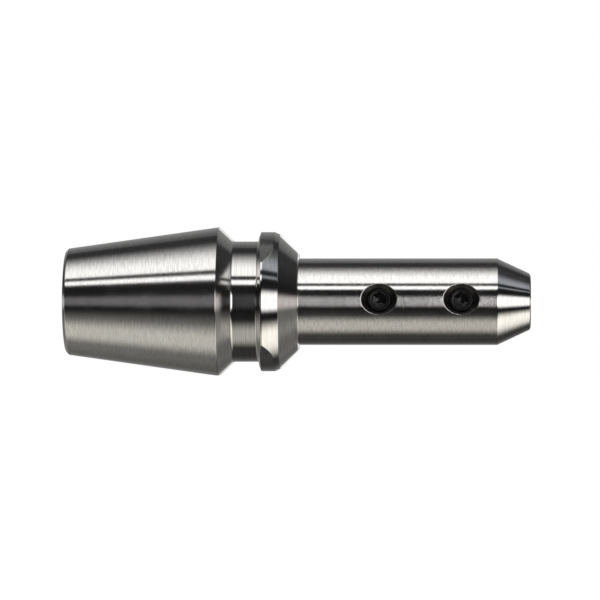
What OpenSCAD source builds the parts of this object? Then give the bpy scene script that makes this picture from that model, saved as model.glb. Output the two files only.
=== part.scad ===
// Side-lock tool holder with a collet-form taper shank.
//
// A ground steel body carries a short taper at the back, which seats in a collet nut's
// spindle, and a slim nose at the front, where two set screws clamp a tool's round shank.
// A third screw behind the tool sets how far the tool stands out.
//
// Everything is in millimetres. The holder's axis is X, with the nose towards +X.
// The two clamp screws face -Y, and +Z is up. The origin is on the axis at the taper's
// large end, the plane that such tapers are gauged at.

/* [Taper shank] */
// Diameter at the taper's large end
taper_large_d = 17; // [14:0.1:20]
// Half angle of the taper, in degrees
taper_half_angle = 8; // [6:0.5:10]
// Length of the taper behind its large end
taper_length = 17.5; // [14:0.1:20]
// Chamfer around the rear face
rear_chamfer = 0.32; // [0.1:0.01:0.5]

/* [Extraction groove] */
// Diameter of the groove's floor
groove_d = 13.72; // [12:0.02:14]
// Slope of the groove's rear wall from the axis, in degrees
groove_wall_angle = 44; // [35:1:60]
// Distance from the taper's large end to the groove's front wall
groove_end = 4.6; // [4:0.1:6]
// Fillet radius in both corners of the groove
groove_fillet = 0.25; // [0.1:0.05:0.5]

/* [Collar] */
// Greatest diameter of the collar
collar_d = 16.94; // [16:0.02:17]
// Bevel around the collar's rear rim, along the axis
collar_bevel = 0.4; // [0.2:0.05:0.6]
// How much that bevel takes off the collar's radius
collar_bevel_drop = 1.0; // [0.3:0.05:1.2]
// Width of the cylindrical land between that bevel and the conical band
collar_land = 0.17; // [0.1:0.01:0.8]
// Slope of the conical band behind the seat, in degrees
collar_band_angle = 24.5; // [20:0.1:35]
// Width of that band along the axis
collar_band_width = 1.78; // [1:0.01:2]
// Slope of the front cone that the nut seats on, in degrees
seat_angle = 44.5; // [30:0.1:45]
// Length of the seat cone along the axis
seat_length = 2.1; // [1.6:0.1:2.4]
// Half height of the collar across its two relief cuts
relief_half_height = 7.935; // [7.6:0.005:8.2]
// How far round the axis each cut keeps that height, each way from its middle
relief_arc = 35.6; // [20:0.1:50]
// How far the reliefs are turned about the axis from square with the clamp screws
relief_turn = 5.6; // [-10:0.1:10]
// How far each flat at a cut's two ends lies inside the height of the cut's middle
relief_flat_drop = 0.005; // [0.005:0.005:0.05]

/* [Nose] */
// Diameter of the nose
nose_d = 9.86; // [9:0.02:10.4]
// Distance from the taper's large end to where the tip cone begins
nose_end = 31.7; // [30:0.1:36]
// Length of the cone at the tip
tip_length = 3.8; // [2:0.1:4]
// Half angle of the cone at the tip, in degrees
tip_angle = 25.1; // [15:0.1:30]
// Small chamfer around the front face
tip_edge = 0.15; // [0.05:0.05:0.3]

/* [Tool bore] */
// Diameter of the tool shank that the bore takes
tool_d = 3; // [2:0.1:3]
// Where the bore begins, ahead of the taper's large end
tool_bore_start = 0.7; // [0:0.1:4]
// Chamfer around the bore's mouth
tool_bore_chamfer = 0.2; // [0.1:0.05:0.4]

/* [Clamp screws] */
// Thread diameter of the clamp screws
clamp_d = 3; // [2.5:0.5:3]
// Length of a clamp screw
clamp_length = 2.5; // [2:0.1:2.5]
// Distance from the taper's large end to the rear clamp screw
clamp_rear_x = 18.3; // [15:0.1:20]
// Distance between the two clamp screws
clamp_spacing = 9.3; // [7:0.1:10]
// How far a clamp screw's end sits below the nose's crest
clamp_recess = 0.77; // [0.7:0.01:0.8]
// Hex socket, across its flats
clamp_hex = 1.5; // [1.2:0.1:1.5]
// Depth of the hex socket
clamp_hex_depth = 1.2; // [0.8:0.1:1.4]
// Diameter of the cup's rim at the screw's point
cup_d = 1.5; // [1.2:0.1:1.8]
// Mouth diameter of the countersink over each screw
countersink_d = 4.1; // [3.6:0.1:5]

/* [Stop screw] */
// Thread diameter of the stop screw
stop_d = 4; // [4:0.5:5]
// Length of the stop screw
stop_length = 6; // [4:0.5:8]
// Distance from the stop screw's point back to the taper's large end
stop_point_back = 1.4; // [1:0.1:4]
// Hex socket, across its flats
stop_hex = 2; // [1.5:0.5:2]
// Depth of the hex socket
stop_hex_depth = 2.4; // [1:0.1:3]
// Mouth diameter of the tapped hole in the rear face
stop_mouth_d = 5; // [4.6:0.1:6]

/* [Fits] */
// Radial clearance around each screw in its tapped hole
thread_clearance = 0.04; // [0.03:0.01:0.06]

/* [Hidden] */
$fn = 96;

STEEL = [0.72, 0.72, 0.71];
BLACK_OXIDE = [0.07, 0.07, 0.08];

// a little more than nothing, so that a cut goes past the face it opens
over = 0.5;

taper_large_r = taper_large_d / 2;
groove_r = groove_d / 2;
collar_r = collar_d / 2;
nose_r = nose_d / 2;

rear_face = -taper_length;
front_face = nose_end + tip_length;
groove_start = (taper_large_r - groove_r) / tan(groove_wall_angle);
rear_reach = groove_fillet * tan(groove_wall_angle / 2);
collar_lean_angle = 3;
front_reach = groove_fillet / tan((90 + collar_lean_angle) / 2);
bevel_start_r = collar_r - collar_bevel_drop;
bevel_start = groove_end + (bevel_start_r - groove_r) * tan(collar_lean_angle);
land_start = bevel_start + collar_bevel;
band_start = land_start + collar_land;
band_end = band_start + collar_band_width;
band_end_r = collar_r - collar_band_width * tan(collar_band_angle);
seat_end = band_end + seat_length;
seat_end_r = band_end_r - seat_length * tan(seat_angle);
tip_edge_start = front_face - tip_edge;
tip_edge_r = nose_r - (tip_length - tip_edge) * tan(tip_angle);

clamp_rest_top = nose_r - clamp_recess;
clamp_hole_r = clamp_d / 2 + thread_clearance;
clamp_chamfer = 0.25;
clamp_point_chamfer = (clamp_d - cup_d) / 2 - 0.05;
cup_depth = 0.4;
stop_hole_r = stop_d / 2 + thread_clearance;
stop_chamfer = 0.4;

// Radius of the taper at a distance along the axis from its large end
function taper_r(x) = taper_large_r + x * tan(taper_half_angle);

// Turns a profile drawn as [radius, distance along the axis] into a solid around X
module turned() {
    rotate([0, 90, 0])
        rotate_extrude()
            children();
}

// Half section of the body, from its axis out, with no holes in it
module body_section() {
    difference() {
        polygon([
            [0, rear_face],
            [taper_r(rear_face) - rear_chamfer, rear_face],
            [taper_r(rear_face + rear_chamfer), rear_face + rear_chamfer],
            [taper_large_r, 0],
            [groove_r + rear_reach * sin(groove_wall_angle),
                groove_start - rear_reach * cos(groove_wall_angle)],
            [groove_r, groove_start + rear_reach],
            [groove_r, groove_end - front_reach],
            [groove_r + front_reach * cos(collar_lean_angle),
                groove_end + front_reach * sin(collar_lean_angle)],
            [bevel_start_r, bevel_start],
            [collar_r, land_start],
            [collar_r, band_start],
            [band_end_r, band_end],
            [seat_end_r, seat_end],
            [nose_r, seat_end],
            [nose_r, nose_end],
            [tip_edge_r, tip_edge_start],
            [tip_edge_r - tip_edge, front_face],
            [0, front_face]
        ]);
        // the cutter's round edge in both corners of the groove
        for (x = [groove_start + rear_reach, groove_end - front_reach])
            translate([groove_r + groove_fillet, x])
                circle(r = groove_fillet);
    }
}

// What one relief cut takes off the collar, above the axis (way = 1) or below it (way = -1),
// before the reliefs are turned. A milling cutter's end face cuts an arc round the axis, and
// where the arc starts and stops it leaves a flat that runs out to the collar's rim.
module relief_cut(way) {
    cut_start = (groove_start + groove_end) / 2;
    cut_length = seat_end - cut_start;
    kept_length = cut_length + 2 * over;
    rotate([way > 0 ? 0 : 180, 0, 0])
        translate([cut_start, 0, 0]) rotate([0, 90, 0])
            difference() {
                translate([-collar_d, -collar_d, 0])
                    cube([collar_d, 2 * collar_d, cut_length]);
                translate([0, 0, -over])
                    cylinder(r = relief_half_height, h = kept_length);
                for (side = [-1, 1])
                    rotate([0, 0, side * relief_arc])
                        translate([relief_flat_drop - relief_half_height,
                                side > 0 ? -2 * collar_d : 0, -over])
                            cube([4 * collar_d, 2 * collar_d, kept_length]);
            }
}

// Tapped hole and countersink for one clamp screw, opening towards -Y
module clamp_hole(x) {
    mouth_r = countersink_d / 2;
    sink_depth = mouth_r - clamp_hole_r;
    translate([x, 0, 0]) rotate([90, 0, 0]) {
        cylinder(r = clamp_hole_r, h = nose_r + over);
        translate([0, 0, nose_r - sink_depth])
            cylinder(r1 = clamp_hole_r, r2 = mouth_r + over, h = sink_depth + over);
    }
}

// Tool bore from the front and tapped hole from the rear, on one axis
module axial_holes() {
    bore_r = tool_d / 2;
    mouth_r = stop_mouth_d / 2;
    turned() {
        polygon([
            [0, tool_bore_start - over],
            [bore_r, tool_bore_start - over],
            [bore_r, front_face - tool_bore_chamfer],
            [bore_r + tool_bore_chamfer + over, front_face + over],
            [0, front_face + over]
        ]);
        polygon([
            [0, rear_face - over],
            [mouth_r + over, rear_face - over],
            [stop_hole_r, rear_face + mouth_r - stop_hole_r],
            [stop_hole_r, tool_bore_start],
            [0, tool_bore_start]
        ]);
    }
}

module holder_body() color(STEEL) {
    difference() {
        turned() body_section();
        rotate([relief_turn, 0, 0]) {
            relief_cut(1);
            relief_cut(-1);
        }
        axial_holes();
        clamp_hole(clamp_rear_x);
        clamp_hole(clamp_rear_x + clamp_spacing);
    }
}

// A set screw standing on its point along +Z, chamfered 45 degrees by point_chamfer at its
// point and by end_chamfer at its other end, where the hex socket is
module set_screw(d, length, point_chamfer, end_chamfer, hex, hex_depth) {
    r = d / 2;
    difference() {
        union() {
            cylinder(r1 = r - point_chamfer, r2 = r, h = point_chamfer);
            translate([0, 0, point_chamfer])
                cylinder(r = r, h = length - point_chamfer - end_chamfer);
            translate([0, 0, length - end_chamfer])
                cylinder(r1 = r, r2 = r - end_chamfer, h = end_chamfer);
        }
        translate([0, 0, length - hex_depth])
            cylinder(d = hex / cos(30), h = hex_depth + over, $fn = 6);
    }
}

// A clamp screw at its place in the nose, with a cup in its point
module clamp_screw(x) color(BLACK_OXIDE) {
    cup_r = cup_d / 2;
    translate([x, -(clamp_rest_top - clamp_length), 0]) rotate([90, 0, 0])
        difference() {
            set_screw(clamp_d, clamp_length, clamp_point_chamfer, clamp_chamfer,
                clamp_hex, clamp_hex_depth);
            translate([0, 0, -over])
                cylinder(r1 = cup_r * (1 + over / cup_depth), r2 = 0, h = cup_depth + over);
        }
}

module front_clamp_screw() clamp_screw(clamp_rear_x + clamp_spacing);

module rear_clamp_screw() clamp_screw(clamp_rear_x);

module stop_screw() color(BLACK_OXIDE) {
    translate([-stop_point_back, 0, 0]) rotate([0, -90, 0])
        set_screw(stop_d, stop_length, stop_chamfer, stop_chamfer, stop_hex, stop_hex_depth);
}

holder_body();
front_clamp_screw();
rear_clamp_screw();
stop_screw();
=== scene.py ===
# %% [markdown]
# # A side-lock drill chuck: one turned steel body and three set screws
#
# This lesson makes the looks of a small tool holder. A lathe and a grinder made the real body, a
# tap cut its screw holes, and two black set screws clamp a drill's shank in its nose. The packed
# model already says where every piece is, so the script starts by loading it as a fixed frame.

# %% Load the frame
import math

import bpy
import numpy as np
from mathutils import Matrix, Vector


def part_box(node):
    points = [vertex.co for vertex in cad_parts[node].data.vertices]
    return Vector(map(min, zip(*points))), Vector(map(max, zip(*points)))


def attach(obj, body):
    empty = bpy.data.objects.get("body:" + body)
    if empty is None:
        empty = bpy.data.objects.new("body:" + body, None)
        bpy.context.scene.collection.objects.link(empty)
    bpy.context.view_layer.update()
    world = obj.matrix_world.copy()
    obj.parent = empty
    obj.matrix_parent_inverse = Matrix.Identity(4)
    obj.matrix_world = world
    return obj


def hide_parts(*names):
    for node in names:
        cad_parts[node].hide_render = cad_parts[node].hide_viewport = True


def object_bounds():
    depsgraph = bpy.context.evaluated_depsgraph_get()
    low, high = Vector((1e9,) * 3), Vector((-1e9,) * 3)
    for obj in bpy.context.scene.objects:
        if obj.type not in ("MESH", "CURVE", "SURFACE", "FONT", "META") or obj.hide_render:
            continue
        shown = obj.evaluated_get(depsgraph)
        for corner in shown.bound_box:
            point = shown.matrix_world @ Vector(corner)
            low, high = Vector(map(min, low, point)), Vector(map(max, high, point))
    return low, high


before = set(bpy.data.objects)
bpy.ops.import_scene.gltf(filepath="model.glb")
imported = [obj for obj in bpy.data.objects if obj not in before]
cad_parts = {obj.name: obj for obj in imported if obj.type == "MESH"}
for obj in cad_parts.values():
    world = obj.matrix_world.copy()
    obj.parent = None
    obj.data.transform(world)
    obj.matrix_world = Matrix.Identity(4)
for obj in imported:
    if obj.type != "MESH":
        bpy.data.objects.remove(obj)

cad_box = [list(corner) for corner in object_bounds()]
print("frame box in mm:", [[round(1000 * v, 2) for v in corner] for corner in cad_box])

# %% [markdown]
# ## Sizes
#
# A machinist reads sizes from a drawing in millimetres. The places of the pieces come from the
# frame: the two end faces and the floor from the whole box, the screws' places from their own
# boxes. The steps of the body between its two end faces are named here once.

# %% Sizes in millimetres
MM = 0.001


def box_mm(node):
    """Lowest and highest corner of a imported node, in millimetres."""
    low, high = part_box(node)
    return np.array(low) / MM, np.array(high) / MM


body_low, body_high = box_mm("holder_body")
rear_face, front_face = body_low[0], body_high[0]
taper_large_r = (body_high[2] - body_low[2]) / 2
taper_angle = math.radians(8)
rear_chamfer = 0.32

groove_r = 6.86
groove_start = 1.7
groove_end = 4.6
collar_lean = math.tan(math.radians(3))

collar_r = 8.47
collar_bevel = 0.4
collar_bevel_drop = 1.0
collar_land = 0.17
band_slope = math.tan(math.radians(24.5))
band_width = 1.78
seat_slope = math.tan(math.radians(44.5))
seat_length = 2.1
relief_half_height = 7.93

nose_r = 4.93
# where the collar's part of the skin hands over to the nose's rings
nose_row = 10.0
nose_end = 31.7
tip_slope = math.tan(math.radians(25.1))
tip_edge = 0.15
tool_bore_r = 1.5
tool_bore_start = 0.7
tool_bore_chamfer = 0.2
countersink_r = 2.05
stop_mouth_r = 2.5
# the cone of the rear hole's mouth hands over to its thread at this radius and place
stop_lead_r = 2.045
stop_lead_x = rear_face + stop_mouth_r - stop_lead_r
print("body from", round(rear_face, 2), "to", round(front_face, 2), "mm along X")

# %% [markdown]
# ## Camera
#
# A turned part is best shown side on through a long lens, which keeps the edges of the body
# parallel. The camera stands half a metre away, nearly square to the nose. A round part may lie
# rolled about its own axis, and this one is rolled so that its screws look up a little: seen from
# the part's own frame, the camera stands a few degrees below them. The camera's sideways
# direction is the body's axis, so the body lies level in its view.

# %% Camera
LENS_MM = 258
SENSOR_MM = 36
ROLL = math.radians(3.5)
camera_distance = 490
camera_place = Vector((29.8, -camera_distance * math.cos(ROLL),
                       0.19 - camera_distance * math.sin(ROLL))) * MM
camera_aim = Vector(((rear_face + front_face) / 2 + 0.2, 0, 0.19)) * MM


def make_camera():
    """Camera at its place, turned to its aim, with everything in focus."""
    data = bpy.data.cameras.new("side_view")
    data.lens = LENS_MM
    data.sensor_width = SENSOR_MM
    data.clip_start = 0.01
    data.clip_end = 10
    camera = bpy.data.objects.new("side_view", data)
    bpy.context.scene.collection.objects.link(camera)
    camera.location = camera_place
    camera.rotation_mode = "QUATERNION"
    backward = (camera_place - camera_aim).normalized()
    sideways = (Vector((1, 0, 0)) - backward * backward.x).normalized()
    upward = backward.cross(sideways)
    turned_axes = Matrix((sideways, upward, backward)).transposed()
    camera.rotation_quaternion = turned_axes.to_quaternion()
    return camera


bpy.context.scene.camera = make_camera()
bpy.context.scene.view_settings.view_transform = "Standard"
print("camera is", round((camera_aim - camera_place).length, 3), "m from its aim")

# %% [markdown]
# ## Surfaces as arrays
#
# Every surface below is a grid of points worked out with numpy. One parameter runs along an
# outline and the other runs round an axis. A real edge is never knife sharp: the tool leaves a
# tiny round, and that round catches the light as a thin line. So each corner of an outline is
# replaced by a short curve before the outline is turned. The exact slope of the outline is kept
# with it, which gives the surface its true normals and clean reflections.

# %% Outlines with rounded corners
COLUMNS = 192
CORNER_STEPS = 5
turn = np.linspace(0, 2 * np.pi, COLUMNS + 1)


def rounded(corners, reach):
    """Rounds the corners of outlines, given as an array [outline, corner, (x, r)].

    Each inner corner becomes a quadratic Bezier curve that leaves the outline at a distance
    `reach` before the corner and joins it again as far after it, or at 0.45 of the shorter
    side. Returns the points and the directions of travel, as [outline, row, (x, r)].
    """
    here = corners[:, 1:-1]
    back, ahead = corners[:, :-2] - here, corners[:, 2:] - here
    back_length = np.linalg.norm(back, axis=2)
    ahead_length = np.linalg.norm(ahead, axis=2)
    limit = np.minimum(np.asarray(reach), 0.45 * np.minimum(back_length, ahead_length))
    start = here + back * (limit / back_length)[..., None]
    end = here + ahead * (limit / ahead_length)[..., None]
    t = np.linspace(0, 1, CORNER_STEPS + 1)[:, None]
    start, here, end = start[:, :, None], here[:, :, None], end[:, :, None]
    curve = (1 - t) ** 2 * start + 2 * t * (1 - t) * here + t ** 2 * end
    heading = (1 - t) * (here - start) + t * (end - here)
    outlines = len(corners)
    points = np.concatenate(
        [corners[:, :1], curve.reshape(outlines, -1, 2), corners[:, -1:]], axis=1)
    headings = np.concatenate(
        [corners[:, 1:2] - corners[:, :1], heading.reshape(outlines, -1, 2),
         corners[:, -1:] - corners[:, -2:-1]], axis=1)
    return points, headings / np.linalg.norm(headings, axis=2, keepdims=True)


def unit(vectors):
    """Vectors scaled to length one; a zero vector stays zero."""
    length = np.linalg.norm(vectors, axis=-1, keepdims=True)
    return vectors / np.where(length > 1e-12, length, 1)


def around_x(x, r, angle):
    """Points at a distance r from the X axis. Angle 0 faces the camera, -Y, and 90 degrees is up."""
    return np.stack(np.broadcast_arrays(x, -r * np.cos(angle), r * np.sin(angle)), axis=-1)


def grid_normals(points):
    """Normals of a grid [row, column]: the step along the rows crossed with the step round.

    Where a row closes on itself, the step at its seam is taken across the seam.
    """
    closed = np.isclose(points[:, :1], points[:, -1:]).all(axis=(1, 2))[:, None, None]
    before = np.where(closed, points[:, -2:-1], 2 * points[:, :1] - points[:, 1:2])
    after = np.where(closed, points[:, 1:2], 2 * points[:, -1:] - points[:, -2:-1])
    wide = np.concatenate([before, points, after], axis=1)
    along = np.gradient(points, axis=0)
    return unit(np.cross(along, wide[:, 2:] - wide[:, :-2]))


def turned(corners, reach):
    """Turns one rounded outline round X. The normal is the outline's, square to its heading."""
    points, headings = rounded(np.array(corners, float)[None], np.array(reach)[None])
    x, r = points[0, :, :1], points[0, :, 1:]
    along, outward = headings[0, :, :1], headings[0, :, 1:]
    normal = around_x(-outward, along, turn)
    return around_x(x, r, turn), normal


print("outlines are turned in", COLUMNS, "columns, one every", 360 / COLUMNS, "degrees")

# %% [markdown]
# ## One closed skin from many grids
#
# The grids of a piece share their borders point for point. Welding them makes one closed skin:
# points that round to the same place become one, and a quad that has lost a corner becomes a
# triangle. This is done with whole arrays, because a body has tens of thousands of points. Each
# corner of a face keeps the normal of its own grid, so two grids can meet in a sharp edge.

# %% Weld grids into a mesh
WELD = 1e-4  # mm


def quads_of(rows, columns, keep=None):
    """Corner numbers of every cell of a grid, or of the cells that `keep` marks."""
    number = np.arange(rows * columns).reshape(rows, columns)
    cells = np.stack(
        [number[:-1, :-1], number[1:, :-1], number[1:, 1:], number[:-1, 1:]], axis=-1)
    return cells.reshape(-1, 4) if keep is None else cells[keep]


def weld(grids):
    """Joins (points, normals, keep) grids. Returns points, quads, triangles, corner normals."""
    points = np.concatenate([p.reshape(-1, 3) for p, _, _ in grids])
    normals = np.concatenate([n.reshape(-1, 3) for _, n, _ in grids])
    sizes = [p.shape[0] * p.shape[1] for p, _, _ in grids]
    firsts = np.concatenate([[0], np.cumsum(sizes)[:-1]])
    own = np.concatenate(
        [quads_of(*p.shape[:2], keep) + first for (p, _, keep), first in zip(grids, firsts)])
    # the added 0.7 keeps round numbers away from the edge between two places
    places = np.floor(points / WELD + 0.7).astype(np.int64)
    _, kept, new = np.unique(places, axis=0, return_index=True, return_inverse=True)
    used, quads = np.unique(new.ravel()[own], return_inverse=True)
    quads = quads.reshape(own.shape)
    lost = quads == np.roll(quads, -1, axis=1)
    whole = ~lost.any(axis=1)
    pinched = lost.sum(axis=1) == 1
    triangles = quads[pinched][~lost[pinched]].reshape(-1, 3)
    of_corners = np.concatenate([own[whole].ravel(), own[pinched][~lost[pinched]]])
    return points[kept][used], quads[whole], triangles, normals[of_corners]


def open_edges(quads, triangles):
    """How many edges belong to one face only. A closed skin has none."""
    starts = np.concatenate([quads.ravel(), triangles.ravel()])
    ends = np.concatenate([np.roll(quads, -1, axis=1).ravel(),
                           np.roll(triangles, -1, axis=1).ravel()])
    edges = np.sort(np.stack([starts, ends], axis=1), axis=1)
    uses = np.unique(edges, axis=0, return_counts=True)[1]
    return int((uses == 1).sum())


def make_mesh(name, grids, materials, finish_of=None):
    """A mesh object in metres from welded grids. finish_of numbers the material of each face."""
    points, quads, triangles, normals = weld(grids)
    mesh = bpy.data.meshes.new(name)
    mesh.vertices.add(len(points))
    mesh.vertices.foreach_set("co", (points * MM).ravel())
    corners = np.concatenate([quads.ravel(), triangles.ravel()])
    mesh.loops.add(len(corners))
    mesh.loops.foreach_set("vertex_index", corners)
    counts = np.concatenate([np.full(len(quads), 4), np.full(len(triangles), 3)])
    mesh.polygons.add(len(counts))
    mesh.polygons.foreach_set("loop_start", np.concatenate([[0], np.cumsum(counts)[:-1]]))
    mesh.polygons.foreach_set("loop_total", counts)
    mesh.polygons.foreach_set("use_smooth", np.ones(len(counts), bool))
    if finish_of is not None:
        centres = np.concatenate(
            [points[quads].mean(axis=1), points[triangles].mean(axis=1)])
        mesh.polygons.foreach_set("material_index", finish_of(centres))
    mesh.update()
    mesh.validate()
    mesh.normals_split_custom_set(normals)
    for material in materials:
        mesh.materials.append(material)
    piece = bpy.data.objects.new(name, mesh)
    bpy.context.scene.collection.objects.link(piece)
    print(name, len(points), "points,", len(counts), "faces, open edges:",
          open_edges(quads, triangles))
    return piece


print("points are welded on a grid of", WELD, "mm")

# %% [markdown]
# ## Screw threads
#
# A metric thread is a V of 60 degrees with its top and bottom cut flat. On a grid, the rows
# follow the helix, so that each row is one edge of the V, and they are stopped square at both
# ends by clipping. The same formula gives the screw and its hole, with a little more radius in
# the hole, so the two always mesh.

# %% The thread's shape
THREAD_EDGES = np.array([0.125, 0.4375, 0.5625, 0.875])


def thread_height(along, angle, pitch):
    """How far the thread stands out, from 0 to 1, on a right-hand helix.

    The helix climbs one pitch a turn. Its V rises from 1/8 to 7/16 of the pitch, stays flat
    to 9/16 and falls to 7/8.
    """
    place = np.mod(along / pitch - angle / (2 * np.pi), 1)
    return np.interp(place, THREAD_EDGES, [0, 1, 1, 0])


def helix_rows(low, high, pitch):
    """Grid [row, column] of places along the axis that follow the helix, from high to low."""
    first = math.floor(low / pitch) - 2
    last = math.ceil(high / pitch) + 1
    edges = pitch * (np.arange(first, last)[:, None] + THREAD_EDGES).ravel()[::-1]
    return np.clip(edges[:, None] + pitch * turn / (2 * np.pi), low, high)


print("a thread's height at the edges of its V:", thread_height(THREAD_EDGES, 0, 1))

# %% [markdown]
# ## The holes for the clamp screws
#
# Each clamp screw's hole starts as a countersink in the round nose, goes on as an M3 thread and
# ends in the side of the tool bore. The grid of one hole runs from a square on the nose, over
# the rim, down the hole and out to a square on the wall of the bore. Both squares have as many
# points round them as the hole, and they lie on grid lines of the nose and of the bore.

# %% Grid of one clamp hole
CLAMP_PITCH = 0.5
NOSE_HOLE = {"half_length": 3.4, "cells_along": 48, "half_columns": 24}
BORE_HOLE = {"half_length": 1.62, "cells_along": 4, "half_columns": 46}
HOLE_MINOR_R, HOLE_MAJOR_R = 1.245, 1.535
# past its last thread the hole is plain, and just wide enough to let the screw through
HOLE_END_R = 1.495


def square_border(middle, half_length, cells_along, half_columns):
    """The points (x, angle) round a square on a cylinder, counterclockwise from its +X side."""
    x = np.linspace(middle - half_length, middle + half_length, cells_along + 1)
    up = turn[:half_columns + 1]
    side = np.concatenate([-up[:0:-1], up])
    return np.concatenate([
        np.stack([np.full(half_columns, x[-1]), up[:-1]], axis=1),
        np.stack([x[:0:-1], np.full(cells_along, up[-1])], axis=1),
        np.stack([np.full(2 * half_columns, x[0]), side[:0:-1]], axis=1),
        np.stack([x[:-1], np.full(cells_along, -up[-1])], axis=1),
        np.stack([np.full(half_columns + 1, x[-1]), side[:half_columns + 1]], axis=1),
    ])


def spread_on_cylinder(border, rim, radius, share):
    """Rows from a square border (share 0) to a hole's rim (share 1), on a cylinder."""
    flat = border * (1 - share) + rim * share
    return around_x(flat[..., 0], radius, flat[..., 1])


def clamp_hole_grid(middle):
    """One clamp hole as a grid [row, column], from the nose's skin to the bore's wall.

    The countersink is a cone of 90 degrees: its radius is its height above the axis less a
    constant. It meets the nose where height squared plus half-width squared is the nose's
    radius squared, a quadratic for the radius at each angle.
    """
    cone = nose_r - countersink_r
    sine, cosine = np.sin(turn), np.cos(turn)

    def hole_point(radius, height):
        return np.stack(
            np.broadcast_arrays(middle + radius * cosine, -height, radius * sine), axis=-1)

    def on_nose(radius):
        return np.sqrt(nose_r ** 2 - (radius * sine) ** 2)

    rim_r = (-cone + np.sqrt(cone ** 2 - (1 + sine ** 2) * (cone ** 2 - nose_r ** 2))) / (
        1 + sine ** 2)
    round_off = 0.05
    outer_r = rim_r + round_off
    outer = hole_point(outer_r, on_nose(outer_r))
    corner = hole_point(rim_r, on_nose(rim_r))
    inner = hole_point(rim_r - round_off, rim_r - round_off + cone)

    border = square_border(middle, **NOSE_HOLE)
    rim = np.stack([middle + outer_r * cosine, np.arcsin(outer_r * sine / nose_r)], axis=1)
    share = (1 - np.linspace(1, 0, 11)[:, None, None] ** 1.5)
    skin = spread_on_cylinder(border, rim, nose_r, share)
    t = np.linspace(0, 1, 6)[1:, None, None]
    edge = (1 - t) ** 2 * outer + 2 * t * (1 - t) * corner + t ** 2 * inner

    lead, plain_end, fade_length = 0.01, 0.12, 0.15
    high = HOLE_MAJOR_R + lead + cone
    low = tool_bore_r + plain_end
    height = helix_rows(low, high, CLAMP_PITCH)
    fade = np.clip((height - low) / fade_length, 0, 1)
    threaded = HOLE_MINOR_R + (HOLE_MAJOR_R - HOLE_MINOR_R) * thread_height(
        height, turn, CLAMP_PITCH)
    radius = fade * threaded + (1 - fade) * HOLE_END_R
    thread = hole_point(np.maximum(radius, height - cone), height)

    bore_rim_angle = np.arcsin(HOLE_END_R * sine / tool_bore_r)
    bore_border = square_border(middle, **BORE_HOLE)
    bore_rim = np.stack([middle + HOLE_END_R * cosine, bore_rim_angle], axis=1)
    share = np.linspace(1, 0, 8)[:, None, None]
    bore = spread_on_cylinder(bore_border, bore_rim, tool_bore_r, share)
    grid = np.concatenate([skin, edge, thread, bore])
    normals = -grid_normals(grid)
    normals[:len(skin)] = unit(skin * [0, 1, 1])
    normals[-len(bore):] = -unit(bore * [0, 1, 1])
    return grid.transpose(1, 0, 2), normals.transpose(1, 0, 2), None


hole_columns, hole_rows = clamp_hole_grid(0)[0].shape[:2]
print("one clamp hole is a grid of", hole_rows, "rows and", hole_columns, "columns")

# %% [markdown]
# ## The body's outline
#
# From the rear face the outline climbs the taper, drops into the extraction groove, climbs the
# back of the collar and comes down its band and its seat to the nose. Two relief cuts leave the
# collar narrower at the top and bottom. Each was milled: it keeps one height round an arc, and a
# flat at each end of the arc runs out to the rim. So the collar's radius depends on the angle,
# and at every angle the collar's corners slide to where the cut, the bevel and the band meet.
# The cuts are turned three columns of the grid away from square with the screws, so that the
# ends of their arcs and flats fall on columns too.

# %% Outline of the shank and collar at every angle
RELIEF_TURN = 3 * turn[1]
RELIEF_ARC = 19 * turn[1]
RELIEF_REACH = 30 * turn[1]
# the columns where each part of the collar starts and ends, and whether it is a relief cut
COLLAR_PARTS = [
    (0, 15, False), (15, 75, True), (75, 111, False), (111, 171, True), (171, COLUMNS, False)]
rim_back_r = collar_r - collar_bevel_drop
rim_back_x = groove_end + (rim_back_r - groove_r) * collar_lean
bevel_run = collar_bevel / collar_bevel_drop
land_end = rim_back_x + collar_bevel + collar_land


def from_relief(angle):
    """Angle from the middle of the nearer relief cut, the top one or the bottom one."""
    return np.mod(angle + RELIEF_TURN, np.pi) - np.pi / 2


def past_arc(angle):
    """How far an angle lies past the end of the nearer relief's arc, signed."""
    away = from_relief(angle)
    return np.sign(away) * np.maximum(np.abs(away) - RELIEF_ARC, 0)


def collar_corners(angle):
    """Corners of the collar's outline for each angle, as [angle, corner, (x, r)].

    A flat touches the arc of radius h where the arc ends, so at an angle a past that end it
    lies h / cos(a) from the axis. The collar's radius is that distance or the rim's.
    """
    crest = np.minimum(relief_half_height / np.cos(past_arc(angle)), collar_r)
    bevel_x = rim_back_x + (crest - rim_back_r) * bevel_run
    band_x = land_end + (collar_r - crest) / band_slope
    return np.stack([
        np.stack([np.full(angle.shape, rim_back_x), np.full(angle.shape, rim_back_r)], axis=1),
        np.stack([bevel_x, crest], axis=1),
        np.stack([band_x, crest], axis=1),
    ], axis=1)


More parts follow.
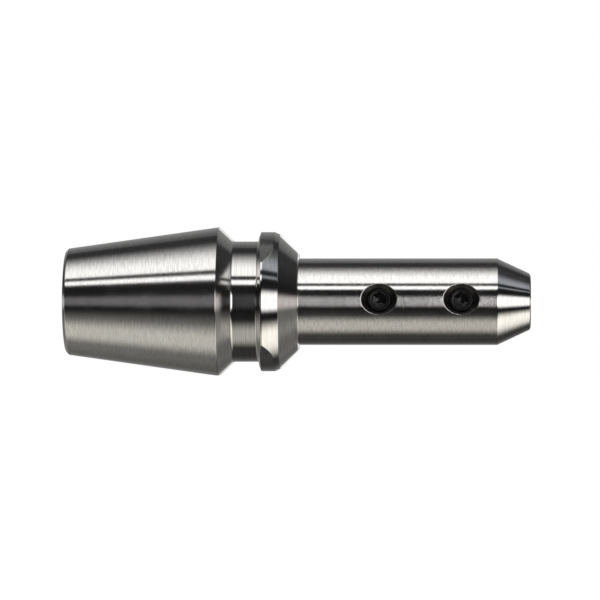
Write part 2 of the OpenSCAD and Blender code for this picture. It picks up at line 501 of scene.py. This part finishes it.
def collar_part(first, last, cut):
    """The skin from the rear hole's mouth to the nose, between two columns, as a grid.

    On a cut's flats the surface looks one way, whatever the angle, so its normals are those
    where the arc ends. The rounded corners blend them into the bevel's and the band's.
    """
    taper_r = taper_large_r + rear_face * math.tan(taper_angle)
    chamfer_r = taper_r + rear_chamfer * math.tan(taper_angle)
    band_end = land_end + band_width
    band_end_r = collar_r - band_width * band_slope
    seat_end = band_end + seat_length
    seat_end_r = band_end_r - seat_length * seat_slope
    angle = turn[first:last + 1]
    before = np.array([
        [stop_lead_x, stop_lead_r],
        [rear_face, stop_mouth_r],
        [rear_face, taper_r - rear_chamfer],
        [rear_face + rear_chamfer, chamfer_r],
        [0, taper_large_r],
        [groove_start, groove_r],
        [groove_end, groove_r],
    ])
    after = np.array([
        [band_end, band_end_r],
        [seat_end, seat_end_r],
        [seat_end, nose_r],
        [nose_row, nose_r],
    ])
    spread = (len(angle), 1, 1)
    corners = np.concatenate(
        [np.tile(before, spread), collar_corners(angle), np.tile(after, spread)], axis=1)
    reach = [0.05, 0.06, 0.08, 0.05, 0.16, 0.24, 0.05, 0.05, 0.04, 0.05, 0.05, 0.08]
    points, headings = rounded(corners, reach)
    grid = around_x(points[..., 0], points[..., 1], angle[:, None])
    normals = around_x(-headings[..., 1], headings[..., 0], angle[:, None])
    if cut:
        # after the first point each corner has its own rows, and the crest lies between two
        rows = CORNER_STEPS + 1
        crest = len(before)
        crest_rows = slice(1 + rows * crest, 1 + rows * (crest + 2))
        blend = np.concatenate([np.linspace(0, 1, rows), np.linspace(1, 0, rows)])[:, None]
        from_axis = around_x(0, 1, angle)[:, None]
        from_cut = around_x(0, 1, angle - past_arc(angle))[:, None]
        outward = unit(from_axis * (1 - blend) + from_cut * blend)
        normals[:, crest_rows, 1:] = (outward * headings[:, crest_rows, :1])[..., 1:]
    return grid.transpose(1, 0, 2), unit(normals).transpose(1, 0, 2), None


print("collar from", groove_end, "to", round(land_end + band_width + seat_length, 2), "mm along X")

# %% [markdown]
# ## The whole body
#
# The nose and the bore are plain rings with a square left open for each hole. The tip and the
# bore's mouth are turned, and the rear hole has an M4 thread. Every grid runs the same way
# round, so after welding the whole skin faces outwards.

# %% Grids of the whole body
STOP_PITCH = 0.7
STOP_MINOR_R, STOP_MAJOR_R = 1.625, 2.035
stop_thread_end = tool_bore_start - 0.2


def rings_with_openings(radius, rows, openings, half_columns, inward):
    """Plain rings on a cylinder, with the cells inside each opening (x from, x to) left out."""
    x = rows[:, None]
    grid = around_x(x, radius, turn)
    normals = around_x(0 * x, -1 if inward else 1, turn) * np.ones((len(rows), 1, 1))
    middle = (rows[:-1] + rows[1:]) / 2
    inside = np.zeros(len(middle), bool)
    for low, high in openings:
        inside |= (middle > low) & (middle < high)
    column = np.arange(COLUMNS)
    near = (column < half_columns) | (column >= COLUMNS - half_columns)
    return grid, normals, ~(inside[:, None] & near)


def rows_between(start, end, middles, half_length, cells_along):
    """Places of the rings from start to end, with the holes' own rows where a hole is."""
    rows = [np.array([start, end])]
    for middle in middles:
        rows.append(np.linspace(middle - half_length, middle + half_length, cells_along + 1))
    return np.unique(np.round(np.concatenate(rows), 9))


def body_grids(hole_middles):
    """All grids of the body's closed skin."""
    nose_rows = rows_between(nose_end - 4 * tip_edge, nose_row, hole_middles,
                             NOSE_HOLE["half_length"], NOSE_HOLE["cells_along"])
    bore_end = front_face - tool_bore_chamfer
    bore_rows = rows_between(tool_bore_start + 0.5, bore_end - 0.5, hole_middles,
                             BORE_HOLE["half_length"], BORE_HOLE["cells_along"])[::-1]
    openings = [(m - NOSE_HOLE["half_length"], m + NOSE_HOLE["half_length"])
                for m in hole_middles]
    bore_openings = [(m - BORE_HOLE["half_length"], m + BORE_HOLE["half_length"])
                     for m in hole_middles]
    tip_start = front_face - tip_edge
    tip_r = nose_r - (tip_start - nose_end) * tip_slope
    tip = [
        [nose_rows[-1], nose_r], [nose_end, nose_r], [tip_start, tip_r],
        [front_face, tip_r - tip_edge], [front_face, tool_bore_r + tool_bore_chamfer],
        [bore_end, tool_bore_r], [bore_rows[0], tool_bore_r],
    ]
    step = [
        [bore_rows[-1], tool_bore_r], [tool_bore_start, tool_bore_r],
        [tool_bore_start, STOP_MINOR_R], [stop_thread_end, STOP_MINOR_R],
    ]
    along = -helix_rows(-stop_thread_end, -stop_lead_x, STOP_PITCH)[::-1]
    fade_length = 0.3
    fade = np.clip((stop_thread_end - along) / fade_length, 0, 1)
    radius = STOP_MINOR_R + fade * (STOP_MAJOR_R - STOP_MINOR_R) * thread_height(
        -along, turn, STOP_PITCH)
    mouth = stop_mouth_r - (along - rear_face)
    thread = around_x(along, np.maximum(radius, mouth), turn)
    tip_grid, tip_normals = turned(tip, [0.06, 0.06, 0.06, 0.05, 0.06])
    step_grid, step_normals = turned(step, [0.03, 0.03])
    return [collar_part(*part) for part in COLLAR_PARTS] + [
        rings_with_openings(nose_r, nose_rows, openings, NOSE_HOLE["half_columns"], False),
        (tip_grid, tip_normals, None),
        rings_with_openings(tool_bore_r, bore_rows, bore_openings,
                            BORE_HOLE["half_columns"], True),
        (step_grid, step_normals, None),
        (thread, grid_normals(thread), None),
    ] + [clamp_hole_grid(middle) for middle in hole_middles]


print("rear hole is threaded from", round(stop_lead_x, 2), "to", round(stop_thread_end, 2), "mm")

# %% [markdown]
# ## The set screws
#
# A set screw is a headless screw with a hex socket. Its grid starts in the middle of the point,
# goes out over the point's chamfer, climbs the thread and comes back in over the end, down the
# six walls of the socket and to the drill mark at its bottom. The thread is cut away by both
# chamfers, so its radius is the least of the thread and the two cones.

# %% Grid of a set screw
def hex_radius(angle, across_flats, turned_by):
    """Distance from the middle of a hexagon to its side, in each direction."""
    place = np.mod(angle - turned_by + np.pi / 6, np.pi / 3) - np.pi / 6
    return across_flats / 2 / np.cos(place)


def set_screw_grid(place, low, high, pitch, minor_r, major_r, point, socket):
    """One set screw as a grid [row, column] round its own axis.

    place turns (radius, height, angle) into points, and height runs from low, the point, to
    high, the socket's end. point gives its chamfer, cup radius and cup depth; socket gives
    its flats, depth, turn and end chamfer.
    """
    chamfer, cup_r, cup_depth = point
    flats, depth, turned_by, end_chamfer = socket
    flat_r = major_r - chamfer
    edge = 0.02
    rows = [
        (0, low + cup_depth), (cup_r * 0.96, low + edge), (cup_r, low),
        (flat_r - edge, low), (flat_r, low + edge / 2),
    ]
    start = [place(np.full(turn.shape, r), np.full(turn.shape, h), turn) for r, h in rows]
    height = helix_rows(low + edge / 2, high - edge / 2, pitch)[::-1]
    radius = minor_r + (major_r - minor_r) * thread_height(height, turn, pitch)
    radius = np.minimum(radius, flat_r + height - low)
    radius = np.minimum(radius, major_r - end_chamfer + high - height)
    thread = place(radius, height, turn)
    end_r = major_r - end_chamfer
    hexagon = hex_radius(turn, flats, turned_by)
    # a steep cone leads into the socket, from just past the hexagon's corners
    lead_r = flats / 2 * 1.22
    lead_slope = 1.3
    drops = np.array([0, 0.03, 0.06, 0.1, 0.14, 0.19])
    lead = [(np.maximum(hexagon, lead_r - drop * lead_slope), high - drop) for drop in drops]
    end = [(end_r - edge, high)] + lead + [
        (hexagon, high - depth + 0.03), (hexagon * 0.96, high - depth),
        (hexagon * 0.7, high - depth - 0.04), (hexagon * 0, high - depth - 0.28),
    ]
    end = [place(r * np.ones(turn.shape), np.full(turn.shape, h), turn) for r, h in end]
    grid = np.concatenate([np.array(start), thread, np.array(end)]).transpose(1, 0, 2)
    return grid, grid_normals(grid), None


def facing_camera(middle):
    """Places (radius, height, angle) round a clamp screw's axis, which points along -Y."""
    def place(radius, height, angle):
        return np.stack([middle + radius * np.cos(angle), -height, radius * np.sin(angle)],
                        axis=-1)
    return place


def facing_back(radius, height, angle):
    """Places (radius, height, angle) round the stop screw's axis, which points along -X."""
    return np.stack([-height, -radius * np.cos(angle), radius * np.sin(angle)], axis=-1)


print("a 1.5 mm hexagon is", round(2 * hex_radius(np.pi / 6, 1.5, 0), 3), "mm across its corners")

# %% [markdown]
# ## Streaks left by cutting
#
# A lathe leaves fine rings round the work, and every finish below shows some. They are noise
# squeezed along X, thin along the axis and long round it, kept in one node group that all the
# finishes share. The group gives only a height and a tone, and each finish uses them its own way.

# %% Streak pattern shared by all the finishes
def add_node(tree, kind, place, **settings):
    """A node of one kind with its plain settings."""
    node = tree.nodes.new(kind)
    node.location = place
    for name, value in settings.items():
        setattr(node, name, value)
    return node


def new_group(name, inputs, outputs):
    """An empty node group with float inputs and outputs."""
    group = bpy.data.node_groups.new(name, "ShaderNodeTree")
    for title, value in inputs:
        socket = group.interface.new_socket(title, in_out="INPUT", socket_type="NodeSocketFloat")
        socket.default_value = value
    for title in outputs:
        group.interface.new_socket(title, in_out="OUTPUT", socket_type="NodeSocketFloat")
    source = add_node(group, "NodeGroupInput", (-900, 0))
    result = add_node(group, "NodeGroupOutput", (500, 0))
    return group, source, result


def streaks_group():
    """Cutting streaks: noise squeezed along X, so that it draws rings round the axis.

    Lines is the number of streaks in a metre along X and Length the number round the axis.
    Height is two sizes of streak added together. Tone is slow, for stains and wear.
    """
    group, source, result = new_group(
        "cutting_streaks", [("Lines", 6000), ("Length", 500)], ["Height", "Tone"])
    link = group.links.new
    coordinates = add_node(group, "ShaderNodeTexCoord", (-900, 300))
    heights = []
    for step, (finer, weight) in enumerate([(1.0, 0.6), (2.7, 0.4)]):
        lines = add_node(group, "ShaderNodeMath", (-700, -200 * step), operation="MULTIPLY")
        length = add_node(group, "ShaderNodeMath", (-700, -200 * step - 90), operation="MULTIPLY")
        link(source.outputs["Lines"], lines.inputs[0])
        link(source.outputs["Length"], length.inputs[0])
        lines.inputs[1].default_value = finer
        length.inputs[1].default_value = finer
        scale = add_node(group, "ShaderNodeCombineXYZ", (-520, -200 * step))
        link(lines.outputs[0], scale.inputs["X"])
        link(length.outputs[0], scale.inputs["Y"])
        link(length.outputs[0], scale.inputs["Z"])
        squeezed = add_node(group, "ShaderNodeVectorMath", (-350, -200 * step),
                            operation="MULTIPLY")
        link(coordinates.outputs["Object"], squeezed.inputs[0])
        link(scale.outputs[0], squeezed.inputs[1])
        noise = add_node(group, "ShaderNodeTexNoise", (-180, -200 * step))
        noise.inputs["Scale"].default_value = 1
        noise.inputs["Detail"].default_value = 2
        noise.inputs["Roughness"].default_value = 0.6
        link(squeezed.outputs[0], noise.inputs["Vector"])
        weighted = add_node(group, "ShaderNodeMath", (0, -200 * step), operation="MULTIPLY")
        weighted.inputs[1].default_value = weight
        link(noise.outputs["Fac"], weighted.inputs[0])
        heights.append(weighted)
    height = add_node(group, "ShaderNodeMath", (200, 0), operation="ADD")
    link(heights[0].outputs[0], height.inputs[0])
    link(heights[1].outputs[0], height.inputs[1])
    link(height.outputs[0], result.inputs["Height"])
    slow = add_node(group, "ShaderNodeTexNoise", (0, 300))
    slow.inputs["Scale"].default_value = 350
    slow.inputs["Detail"].default_value = 4
    link(coordinates.outputs["Object"], slow.inputs["Vector"])
    link(slow.outputs["Fac"], result.inputs["Tone"])
    return group


STREAKS = streaks_group()
print("node group", STREAKS.name, "has", len(STREAKS.nodes), "nodes")

# %% [markdown]
# ## Steel that shows how it was cut
#
# Across the lathe's rings the surface is rough, and along them it is smooth. So a lamp's
# reflection stays sharp round the body and smears along it. Two things give this look: an
# anisotropic shine, for rings too fine to see, and a bump of streaks, for the rings that can be
# seen. The streaks' troughs are also coloured darker than their crests: a little oil and grime
# held in them, and painted shade for the shadow that falls in them.

# %% Streaked metal and steel
def streaked(name, lines, length, depth, tones, roughnesses):
    """A new material whose streaks bump its surface and whose tone sets its roughness.

    depth is the streaks' height in metres; lines and length are the group's. Returns the
    material, its shader and its streaks.
    """
    material = bpy.data.materials.new(name)
    material.use_nodes = True
    tree = material.node_tree
    link = tree.links.new
    shader = tree.nodes["Principled BSDF"]
    streaks = add_node(tree, "ShaderNodeGroup", (-700, 0), node_tree=STREAKS)
    streaks.inputs["Lines"].default_value = lines
    streaks.inputs["Length"].default_value = length
    bump = add_node(tree, "ShaderNodeBump", (-300, -300))
    bump.inputs["Strength"].default_value = 1
    bump.inputs["Distance"].default_value = depth
    link(streaks.outputs["Height"], bump.inputs["Height"])
    link(bump.outputs[0], shader.inputs["Normal"])
    rough = add_node(tree, "ShaderNodeMapRange", (-450, 150))
    rough.inputs["From Min"].default_value, rough.inputs["From Max"].default_value = tones
    rough.inputs["To Min"].default_value, rough.inputs["To Max"].default_value = roughnesses
    link(streaks.outputs["Tone"], rough.inputs["Value"])
    link(rough.outputs[0], shader.inputs["Roughness"])
    return material, shader, streaks


def steel(name, colour, roughness, anisotropy, lines, length, depth, trough_oil_and_shade):
    """A steel finish. The last argument darkens the streaks' troughs, 0 to 1: oil, grime and painted
    shade.
    """
    material, shader, streaks = streaked(
        name, lines, length, depth, (0.3, 0.7), (roughness * 0.9, roughness * 1.12))
    tree = material.node_tree
    link = tree.links.new
    shader.inputs["Metallic"].default_value = 1
    shader.inputs["Anisotropic"].default_value = anisotropy
    shader.inputs["Anisotropic Rotation"].default_value = 0.25
    tangent = add_node(tree, "ShaderNodeTangent", (-300, -500), direction_type="RADIAL", axis="X")
    link(tangent.outputs[0], shader.inputs["Tangent"])
    # painted shade and a little oil and grime: the streaks' troughs get a darker copy of the colour
    contrast = add_node(tree, "ShaderNodeMapRange", (-650, 400))
    contrast.inputs["From Min"].default_value = 0.38
    contrast.inputs["From Max"].default_value = 0.62
    link(streaks.outputs["Height"], contrast.inputs["Value"])
    paint = add_node(tree, "ShaderNodeMix", (-450, 400), data_type="RGBA")
    trough, crest = [s for s in paint.inputs if s.type == "RGBA"]
    trough.default_value = (*[v * (1 - trough_oil_and_shade) for v in colour], 1)
    crest.default_value = (*colour, 1)
    link(contrast.outputs[0], paint.inputs["Factor"])
    colour_out = [s for s in paint.outputs if s.type == "RGBA"][0]
    link(colour_out, shader.inputs["Base Color"])
    return material


# %% [markdown]
# ## Finishes of the body
#
# The taper is ground, the groove and the cones are finish turned, and the nose is polished with a
# fine cloth. The collar's two reliefs are milled, so they shine less and their marks are as long
# one way as the other. The holes are left as the drill and the tap cut them, and their steel is
# coloured nearly black: painted shade for the dark inside them.

# %% Make the finishes and the body
STEEL_COLOUR = (0.64, 0.635, 0.625)
# the last number of each finish darkens the streaks' troughs: a little oil and grime, and painted
# shade
FINISHES = [
    steel("ground_taper", STEEL_COLOUR, 0.18, 0.9, 7500, 900, 7e-6, 0.2),
    steel("turned_groove", STEEL_COLOUR, 0.12, 0.7, 5000, 200, 4e-6, 0.2),
    steel("turned_cones", STEEL_COLOUR, 0.12, 0.7, 5000, 400, 5e-6, 0.15),
    steel("polished_nose", (0.7, 0.695, 0.68), 0.17, 0.9, 7500, 1300, 12e-6, 0.2),
    steel("milled_relief", STEEL_COLOUR, 0.25, 0.2, 3000, 3000, 8e-6, 0.25),
    # nearly black steel in the holes: painted shade for the dark inside them
    steel("hole_steel_painted_shade", (0.055, 0.054, 0.052), 0.3, 0.0, 4000, 400, 2e-6, 0.3),
]


def body_finish(centres):
    """The number of the finish of each face, from its place on the body."""
    before_holes = 12
    past_corner, inside_cut, under_skin = 0.1, 0.03, 0.015
    rear_hole_r = 2.2
    x = centres[:, 0]
    r = np.hypot(centres[:, 1], centres[:, 2])
    finish = np.full(len(centres), 3)
    finish[((x < nose_row) & (r > nose_r + 0.01)) | (x > nose_end)] = 2
    finish[(x < groove_end + past_corner) & (x > groove_start - past_corner)] = 1
    finish[x < 0] = 0
    in_reach = np.abs(from_relief(np.arctan2(centres[:, 2], -centres[:, 1]))) < RELIEF_REACH
    before_band = x < land_end + (collar_r - r) / band_slope - inside_cut
    after_bevel = x > rim_back_x + (r - rim_back_r) * bevel_run + inside_cut
    finish[in_reach & before_band & after_bevel & (r > relief_half_height - 0.05)] = 4
    hole = (x > before_holes) & (x < nose_end) & (r < nose_r - under_skin)
    # the holes and the bore get the nearly black steel, painted shade for the dark inside them
    finish[hole | (r < rear_hole_r)] = 5
    return finish


middles = [float(np.mean([b[0] for b in box_mm(node)]))
           for node in ("rear_clamp_screw", "front_clamp_screw")]
body = make_mesh("turned_body", body_grids(middles), FINISHES, body_finish)

# %% [markdown]
# ## Black screws
#
# Set screws are hardened and then blackened in a hot salt bath, which turns their surface into a
# thin black oxide. It isn't a coat of paint: it follows the metal, and with oil on it, it shines a
# little. So it is made as a nearly black surface with a low, smooth shine, on the same streaks as
# the steel. The two clamp screws are alike, apart from where each one stopped turning, so one
# function makes both. The stop screw is larger, with a flat point.

# %% Make the screws
def black_oxide(name):
    """Black oxide on steel: a thin dark skin, nearly black, with an oily shine."""
    material, shader, streaks = streaked(name, 4000, 3000, 2e-6, (0, 1), (0.12, 0.26))
    tree = material.node_tree
    shader.inputs["Metallic"].default_value = 0
    shader.inputs["Specular IOR Level"].default_value = 0.3
    ramp = add_node(tree, "ShaderNodeValToRGB", (-450, 400))
    ramp.color_ramp.elements[0].color = (0.004, 0.004, 0.005, 1)
    ramp.color_ramp.elements[1].color = (0.011, 0.011, 0.012, 1)
    tree.links.new(streaks.outputs["Tone"], ramp.inputs["Fac"])
    tree.links.new(ramp.outputs["Color"], shader.inputs["Base Color"])
    return material


BLACK = [black_oxide("black_oxide_skin")]


def clamp_screw(name, node, hex_turn):
    """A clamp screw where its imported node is, with a cup point."""
    low, high = box_mm(node)
    grid = set_screw_grid(facing_camera((low[0] + high[0]) / 2), -high[1], -low[1], CLAMP_PITCH,
                          minor_r=1.2, major_r=1.49, point=(0.7, 0.75, 0.4),
                          socket=(1.5, 1.2, hex_turn, 0.25))
    return make_mesh(name, [grid], BLACK)


front_screw = clamp_screw("front_set_screw", "front_clamp_screw", math.radians(11.25))
rear_screw = clamp_screw("rear_set_screw", "rear_clamp_screw", math.radians(-7.5))
stop_low, stop_high = box_mm("stop_screw")
stop_grid = set_screw_grid(facing_back, -stop_high[0], -stop_low[0], STOP_PITCH,
                           minor_r=1.58, major_r=1.99, point=(0.4, 0.2, 0.05),
                           socket=(2.0, 2.4, 0, 0.4))
stop_piece = make_mesh("depth_stop_screw", [stop_grid], BLACK)

# %% [markdown]
# ## Ride the frame
#
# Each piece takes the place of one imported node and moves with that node's body. The clamp screws
# and the stop screw slide along their own threads, so each rides on a body of its own.

# %% Ride and replace
for piece, ridden, node, slot in (
    (body, "holder", "holder_body", "ground_steel"),
    (front_screw, "front_clamp", "front_clamp_screw", "black_oxide"),
    (rear_screw, "rear_clamp", "rear_clamp_screw", "black_oxide"),
    (stop_piece, "stop", "stop_screw", "black_oxide"),
):
    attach(piece, ridden)
    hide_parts(node)
    print(piece.name, "rides on", ridden, "in place of", node)

# %% [markdown]
# ## Floor
#
# The floor is a pale sheet at the height of the taper's lowest point. In front it bends gently
# down, away from the camera's line of sight, because the camera looks from a little below. It
# glows, like a light table, so it stays nearly white and keeps only a soft shadow. Polished
# steel would show the sheet's edges, so the sheet is left out of reflections, and the studio
# light below takes its place there.

# %% Floor
FLOOR_HALF = 1300


def make_floor():
    """A pale glowing sheet, flat under and behind the object and sloping down before it.

    In front its height falls by a tenth of sqrt(y^2 + bend^2) - bend, a straight slope with a
    soft start at y = 0.
    """
    bend = 5
    front = -np.geomspace(FLOOR_HALF, 0.5, 40)
    y = np.concatenate([front, [0, FLOOR_HALF]])
    height = cad_box[0][2] / MM - 0.1 * (np.sqrt(np.minimum(y, 0) ** 2 + bend ** 2) - bend)
    x = np.array([-FLOOR_HALF, FLOOR_HALF])
    grid = np.stack(np.broadcast_arrays(x[:, None], y, height), axis=-1) * MM
    mesh = bpy.data.meshes.new("pale_floor")
    mesh.from_pydata(grid.reshape(-1, 3).tolist(), [], quads_of(*grid.shape[:2]).tolist())
    material = bpy.data.materials.new("pale_sheet")
    material.use_nodes = True
    shader = material.node_tree.nodes["Principled BSDF"]
    shader.inputs["Base Color"].default_value = (0.8, 0.8, 0.8, 1)
    shader.inputs["Roughness"].default_value = 0.9
    shader.inputs["Emission Color"].default_value = (1, 1, 1, 1)
    shader.inputs["Emission Strength"].default_value = 0.85
    mesh.materials.append(material)
    floor = bpy.data.objects.new("pale_floor", mesh)
    bpy.context.scene.collection.objects.link(floor)
    floor.visible_glossy = False
    return floor


floor = make_floor()
print("floor at", round(cad_box[0][2] / MM, 3), "mm")

# %% [markdown]
# ## Studio light
#
# Bright steel shows its surroundings, so the light is a whole studio: a broad soft panel
# overhead, a narrow strip below its front edge, a dark gap where the camera looks in, a pale
# table below and softer panels at both ends. Each panel is a patch of the sky with soft edges.
# Its height is the angle round the X axis, from 0 at the camera to 90 degrees overhead, and its
# length is the direction's X part. A panel beside the camera is upright, so it has a rise
# instead of a height: the upward part of the direction, from -1 to 1.

# %% Panels of the studio
# height (degrees), rise and length fade in from the first number to the second
# and fade out from the third to the fourth
PANELS = {
    "ceiling": {
        "height": (48, 52, 61, 111), "length": (-0.95, -0.6, 0.3, 0.62),
        "light": (1.65, 1.63, 1.61)},
    "ceiling_end": {
        "height": (50, 57, 64, 98), "length": (0.3, 0.62, 0.8, 0.97),
        "light": (0.45, 0.47, 0.51)},
    "front_strip": {
        "height": (31, 34.5, 39.5, 43.5), "length": (-0.95, -0.6, 0.3, 0.62),
        "light": (1.85, 1.83, 1.82)},
    "strip_end": {
        "height": (33, 37, 39, 43), "length": (0.3, 0.62, 0.8, 0.95),
        "light": (0.35, 0.36, 0.385)},
    "right_window": {
        "rise": (-0.285, -0.13, 0.145, 0.305), "length": (0.04, 0.2, 0.84, 0.94),
        "light": (1.8, 1.765, 1.75)},
    "near_window": {
        "rise": (-0.27, -0.12, 0.13, 0.28), "length": (0.04, 0.16, 0.35, 0.6),
        "light": (1.0, 0.97, 0.97)},
    "far_right": {
        "rise": (-0.18, -0.03, 0.03, 0.16), "length": (0.9, 0.95, 1.1, 1.2),
        "light": (0.8, 0.73, 0.7)},
    "left_wall": {
        "height": (-12, -3, 4, 12), "length": (-0.75, -0.4, -0.22, -0.1),
        "light": (0.19, 0.185, 0.195)},
    "far_left": {
        "rise": (-0.14, -0.04, 0.04, 0.14), "length": (-1.2, -1.1, -0.95, -0.75),
        "light": (0.65, 0.65, 0.7)},
    "table": {
        "height": (-102, -74, -62, -34), "length": (-1.1, -0.8, 0.8, 1.1),
        "light": (0.58, 0.56, 0.505)},
    "table_right": {
        "height": (-120, -88, -62, -32), "length": (0.05, 0.5, 0.78, 0.97),
        "light": (1.05, 1.01, 0.92)},
    "table_left": {
        "height": (-190, -110, -44, -14), "length": (-1.1, -0.8, -0.3, -0.05),
        "light": (0.26, 0.252, 0.234)},
    "table_far": {
        "height": (-210, -160, -100, -80), "length": (0.35, 0.65, 1.1, 1.2),
        "light": (0.14, 0.138, 0.13)},
    "under_table": {
        "height": (-185, -150, -110, -80), "length": (-1.2, -1.1, 1.1, 1.2),
        "light": (0.03, 0.029, 0.0275)},
}
# light from behind the body: a dim room, a pale wall, a glow further back, and its two sides
BACK_ROOM = (0.035, 0.035, 0.036)
BACK_WALL = (0.11, 0.11, 0.108)
BACK_GLOW = (0.17, 0.17, 0.17)
BACK_SIDES = (0.03, 0.03, 0.03)
DARKEST = (0.012, 0.012, 0.013)
# the most degrees that the ceiling and its strip climb, towards the ends of the body's axis
STRIP_BEND = 22
print(len(PANELS), "panels:", ", ".join(PANELS))

# %% [markdown]
# ## Painting the panels on the sky
#
# The sky's colour is worked out by nodes from the direction that a ray looks in. A panel is a
# mask, which rises and falls smoothly in two measures of that direction, times its light. All the
# panels are added up. The camera itself sees plain white behind the body, as it would a paper
# screen, because the world looks different to camera rays than to reflections.

# %% Make the studio
def soft_step(tree, value, start, end):
    """0 before start and 1 after end, smooth between; reversed where start is after end."""
    node = add_node(tree, "ShaderNodeMapRange", (0, 0), interpolation_type="SMOOTHSTEP")
    low, high = min(start, end), max(start, end)
    node.inputs["From Min"].default_value = low
    node.inputs["From Max"].default_value = high
    node.inputs["To Min"].default_value = 0 if start < end else 1
    node.inputs["To Max"].default_value = 1 if start < end else 0
    tree.links.new(value, node.inputs["Value"])
    return node.outputs[0]


def calculate(tree, operation, *values):
    """A math node on sockets or numbers."""
    node = add_node(tree, "ShaderNodeMath", (0, 0), operation=operation)
    for socket, value in zip(node.inputs, values):
        if isinstance(value, (int, float)):
            socket.default_value = value
        else:
            tree.links.new(value, socket)
    return node.outputs[0]


def lit_patch(tree, mask, light):
    """A colour scaled by a mask."""
    node = add_node(tree, "ShaderNodeVectorMath", (0, 0), operation="SCALE")
    node.inputs[0].default_value = light
    tree.links.new(mask, node.inputs["Scale"])
    return node.outputs[0]


def make_studio():
    """The world: the panels' sum for reflections and shade, plain white for the camera."""
    world = bpy.data.worlds.new("soft_studio")
    bpy.context.scene.world = world
    world.use_nodes = True
    tree = world.node_tree
    link = tree.links.new
    tree.nodes.clear()
    direction = add_node(tree, "ShaderNodeTexCoord", (0, 0)).outputs["Generated"]
    level = add_node(tree, "ShaderNodeVectorRotate", (0, 0), rotation_type="X_AXIS")
    level.inputs["Angle"].default_value = -ROLL
    link(direction, level.inputs["Vector"])
    parts = add_node(tree, "ShaderNodeSeparateXYZ", (0, 0))
    link(level.outputs[0], parts.inputs[0])
    x, y, z = parts.outputs
    height = calculate(tree, "ARCTAN2", z, calculate(tree, "MULTIPLY", y, -1))
    height = calculate(tree, "MULTIPLY", height, 180 / math.pi)
    # the ceiling panel and its strip climb towards both ends
    bend = calculate(tree, "MULTIPLY", calculate(tree, "MULTIPLY", x, x), STRIP_BEND)
    bend = calculate(tree, "MULTIPLY", bend, soft_step(tree, height, 120, 30))
    bend = calculate(tree, "MULTIPLY", bend, soft_step(tree, height, 0, 30))
    places = {"height": calculate(tree, "SUBTRACT", height, bend), "rise": z, "length": x}

    def between(kind, fade):
        return calculate(tree, "MULTIPLY", soft_step(tree, places[kind], fade[0], fade[1]),
                         soft_step(tree, places[kind], fade[3], fade[2]))

    room = soft_step(tree, y, 0, 0.3)
    wall = soft_step(tree, y, 0.52, 0.66)
    glow = soft_step(tree, y, 0.6, 1.0)
    beside = soft_step(tree, calculate(tree, "ABSOLUTE", x), 0.25, 0.6)
    above = soft_step(tree, z, -0.9, 0.1)
    patches = [
        (calculate(tree, "MULTIPLY", room, above), BACK_ROOM),
        (calculate(tree, "MULTIPLY", wall, above), BACK_WALL),
        (calculate(tree, "MULTIPLY", glow, above), BACK_GLOW),
        (calculate(tree, "MULTIPLY", calculate(tree, "MULTIPLY", wall, beside), above),
         BACK_SIDES),
    ]
    for panel in PANELS.values():
        upright = "rise" if "rise" in panel else "height"
        mask = calculate(tree, "MULTIPLY", between(upright, panel[upright]),
                         between("length", panel["length"]))
        patches.append((mask, panel["light"]))
    total = add_node(tree, "ShaderNodeCombineXYZ", (0, 0))
    for socket, value in zip(total.inputs, DARKEST):
        socket.default_value = value
    for mask, light in patches:
        more = add_node(tree, "ShaderNodeVectorMath", (0, 0), operation="ADD")
        link(total.outputs[0], more.inputs[0])
        link(lit_patch(tree, mask, light), more.inputs[1])
        total = more
    studio = add_node(tree, "ShaderNodeBackground", (0, 0))
    link(total.outputs[0], studio.inputs["Color"])
    plain = add_node(tree, "ShaderNodeBackground", (0, 0))
    plain.inputs["Color"].default_value = (1, 1, 1, 1)
    rays = add_node(tree, "ShaderNodeLightPath", (0, 0))
    choose = add_node(tree, "ShaderNodeMixShader", (0, 0))
    link(rays.outputs["Is Camera Ray"], choose.inputs["Fac"])
    link(studio.outputs[0], choose.inputs[1])
    link(plain.outputs[0], choose.inputs[2])
    out = add_node(tree, "ShaderNodeOutputWorld", (0, 0))
    link(choose.outputs[0], out.inputs["Surface"])
    print("studio of", len(PANELS), "panels,", len(tree.nodes), "nodes")


make_studio()
